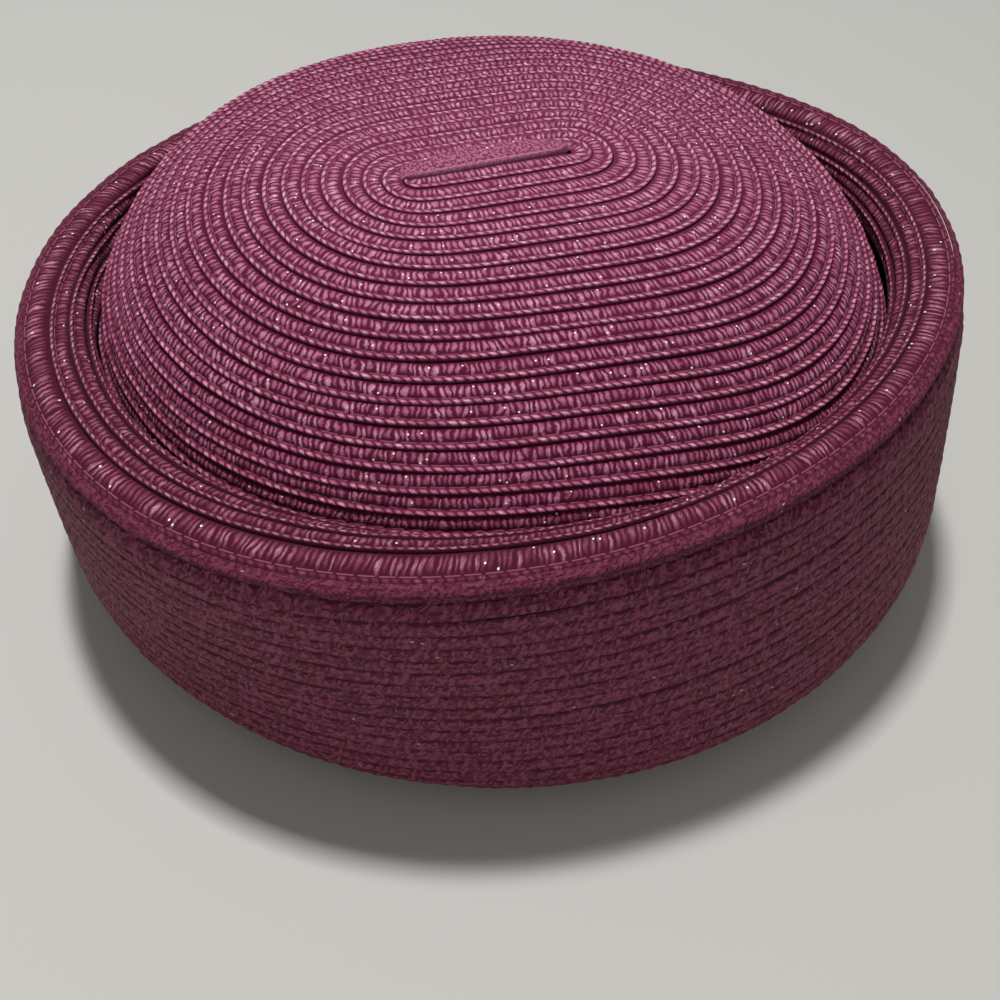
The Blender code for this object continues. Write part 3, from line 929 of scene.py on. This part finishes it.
def make_crown(right, reverse):
    angle = chart_angles()
    widths = sewn_rows((), CROWN_ROWS, CROWN_EVEN_ROWS, crown_stretch(angle))
    chart = Chart(crown_lines(angle), widths)
    rows = Rows(chart, START_ROW, CROWN_ROWS - 1 + START_ROW, 1, START_ANGLE)
    Part = namedtuple("Part", "name begin end across spacing")
    parts = (
        Part("crown_rows_top", 0, 13, RIGHT_SIDE, 0.00062),
        Part("crown_rows_middle", 13, 19, RIGHT_SIDE, 0.00062),
        Part("crown_rows_low", 19, 24, RIGHT_SIDE, 0.00066),
        Part("crown_rows_hidden", 24, CROWN_ROWS - 1, PLAIN_SIDE, 0.0018),
    )
    for part in parts:
        piece = lay_braid(
            part.name, rows, part.begin, part.end, part.across, part.spacing,
            seed=CROWN_SEED + part.begin,
        )
        dress(piece, right, "crown")
    lining = lay_braid(
        "crown_lining", rows, 0, CROWN_ROWS - 1, PLAIN_SIDE, LINING_SPACING,
        lift=WALL, side=-1.0, seed=LINING_SEED,
    )
    dress(lining, reverse, "crown")


def make_lip(material):
    """The first length of braid, folded back as a flat lip along the far side of the slit."""
    x = np.linspace(LIP_START, LIP_END, LIP_STEPS + 1)[:, None]
    share, back, height, cord = (np.array(column)[None, :] for column in zip(*LIP_SIDE))
    stitch = (x - LIP_START) / REPEAT
    from_end = np.minimum(x - LIP_START, LIP_END - x)
    bow = np.sqrt(1 - (2 * (x - LIP_START) / (LIP_END - LIP_START) - 1) ** 2)
    width = LIP_LEAST + (LIP_WIDTH - LIP_LEAST) * bow
    knob = np.exp(-(((x - LIP_KNOB_AT) / LIP_KNOB_SIZE) ** 2)) * (back < 0.5) * (back > 0.0)
    lump = np.cos(FULL_TURN * (LUMPS_A_REPEAT * stitch + LUMP_SLANT * share))
    rise = MILLIMETRE * height * smooth_step(from_end / LIP_ROUND) + cord * CORD_LIFT * lump
    y = SLIT.y + LIP_FRONT + width * back + uneven(stitch, LIP_SWAY)
    verts = points(x, y, CROWN_TOP_Z + rise + knob * LIP_KNOB_LIFT)
    row = np.zeros(len(x))
    quads, corners = grid(len(x), len(LIP_SIDE), False, stitch[:, 0], row, share[0], False)
    piece = make_mesh("first_braid_lip", verts.reshape(-1, 3) + np.array(SHIFT), quads, corners)
    dress(piece, material, "crown_start")


def brim_courses():
    """The rows outside and inside the cuff, and those on its rolled edge."""
    angle = chart_angles()
    cuff = Cuff(angle)
    outer_lines = np.array(lower_brim_lines(cuff, angle, 0.0) + [seam_line(angle)])
    outer = Chart(outer_lines, sewn_rows(CUFF_FIRST_ROWS, CUFF_OUTER_ROWS, CUFF_OUTER_EVEN_ROWS))
    outer_rows = Rows(outer, 0, CUFF_OUTER_ROWS - 1, 0, BACK_ANGLE)
    inner_lines = np.array(lower_brim_lines(cuff, angle, WALL))
    inner = Chart(inner_lines, sewn_rows((), CUFF_INNER_ROWS, CUFF_INNER_EVEN_ROWS))
    inner_rows = Rows(inner, 0, CUFF_INNER_ROWS, 0, BACK_ANGLE)
    edge = Chart(np.array(edge_lines(cuff, angle)), sewn_rows(EDGE_FIRST_ROWS, EDGE_ROWS, EDGE_ROWS))
    return outer_rows, inner_rows, Rows(edge, 0, EDGE_ROWS, 0, BACK_ANGLE)


def make_brim(right, shoulder, edge_front, reverse, hem):
    outer, inner, edge = brim_courses()
    Part = namedtuple("Part", "name node rows begin end across spacing side finish")
    parts = (
        Part("cuff_outside_upper", "brim", outer, 0, 12, REVERSE_SIDE, 0.0012, 1, reverse),
        Part("cuff_outside_lower", "brim", outer, 12, 24, REVERSE_SIDE, 0.0012, 1, reverse),
        Part("hem_row", "brim_edge", edge, 0, 1, REVERSE_SIDE, 0.0009, -1, hem),
        Part("rolled_edge_front", "brim_edge", edge, 1, 2, EDGE_SIDE, 0.0006, -1, edge_front),
        Part("rolled_edge_top", "brim_edge", edge, 2, EDGE_ROWS, RIGHT_SIDE, 0.0006, -1, shoulder),
        Part("cuff_inside", "brim", inner, 0, CUFF_INNER_ROWS, PLAIN_SIDE, 0.0018, -1, right),
    )
    for part in parts:
        piece = lay_braid(
            part.name, part.rows, part.begin, part.end, part.across, part.spacing,
            side=part.side, cord_first=part.side < 0, seed=BRIM_SEED + part.begin,
        )
        dress(piece, part.finish, part.node)


def make_floor():
    material = bpy.data.materials.new("Floor")
    material.use_nodes = True
    shader = material.node_tree.nodes["Principled BSDF"]
    shader.inputs["Base Color"].default_value = FLOOR_COLOUR
    shader.inputs["Roughness"].default_value = FLOOR_ROUGHNESS
    mesh = bpy.data.meshes.new("floor")
    half = FLOOR_SIZE / 2
    corners = [(-half, -half, 0), (half, -half, 0), (half, half, 0), (-half, half, 0)]
    mesh.from_pydata(corners, [], [(0, 1, 2, 3)])
    floor = bpy.data.objects.new("floor", mesh)
    floor.location.z = FLOOR_DROP
    mesh.materials.append(material)
    bpy.context.scene.collection.objects.link(floor)


def area_light(name, place, size, power):
    light = bpy.data.lights.new(name, "AREA")
    light.size = size
    light.energy = power
    lamp = bpy.data.objects.new(name, light)
    lamp.location = place
    aim = Vector(LIGHT_TARGET) - Vector(place)
    lamp.rotation_euler = aim.to_track_quat("-Z", "Y").to_euler()
    bpy.context.scene.collection.objects.link(lamp)


def make_light():
    world = bpy.data.worlds.new("Studio")
    bpy.context.scene.world = world
    world.use_nodes = True
    backdrop = world.node_tree.nodes["Background"]
    backdrop.inputs["Color"].default_value = WORLD_COLOUR
    backdrop.inputs["Strength"].default_value = WORLD_STRENGTH
    area_light("Softbox", KEY_PLACE, KEY_SIZE, KEY_POWER)
    area_light("Front fill", FILL_PLACE, FILL_SIZE, FILL_POWER)


def make_camera():
    """Stands off the hat by azimuth and elevation, then aims past it and rolls a little."""
    data = bpy.data.cameras.new("Camera")
    data.sensor_width = SENSOR_WIDTH
    data.lens = SENSOR_WIDTH * FOCAL_PIXELS / PHOTO_PIXELS
    data.clip_start = CLIP_START
    camera = bpy.data.objects.new("Camera", data)
    around = Matrix.Rotation(CAMERA_AZIMUTH, 4, "Z")
    above = Matrix.Rotation(math.pi / 2 - CAMERA_ELEVATION, 4, "X")
    away = Matrix.Translation((0.0, 0.0, CAMERA_DISTANCE))
    yaw = Matrix.Rotation(AIM_YAW, 4, "Y")
    pitch = Matrix.Rotation(AIM_PITCH, 4, "X")
    roll = Matrix.Rotation(AIM_ROLL, 4, "Z")
    target = Matrix.Translation(Vector(CAMERA_TARGET) + Vector(SHIFT))
    camera.matrix_world = target @ around @ above @ away @ yaw @ pitch @ roll
    bpy.context.scene.collection.objects.link(camera)
    bpy.context.scene.camera = camera


def main():
    bpy.context.scene.view_settings.view_transform = "Standard"
    right = right_side("Braid right side", CROWN_LOOK, CROWN_COLOURS)
    edge_front = right_side("Braid on the rolled edge", EDGE_LOOK, EDGE_COLOURS)
    # The shoulder's braid is a darker copy of the right side, painted shade.
    shoulder = right_side("Braid on the shoulder in painted shade", SHADED_SHOULDER_LOOK, EDGE_COLOURS)
    reverse = reverse_side("Braid reverse", 1.0)
    # The hem's reverse is a darker copy, painted shade under the rolled edge.
    hem = reverse_side("Braid reverse under the edge", HEM_SHADE_LIGHTNESS)
    make_crown(right, reverse)
    make_lip(plain_side("Flattened braid"))
    make_brim(right, shoulder, edge_front, reverse, hem)
    make_floor()
    make_light()
    make_camera()


main()
bpy.context.view_layer.update()
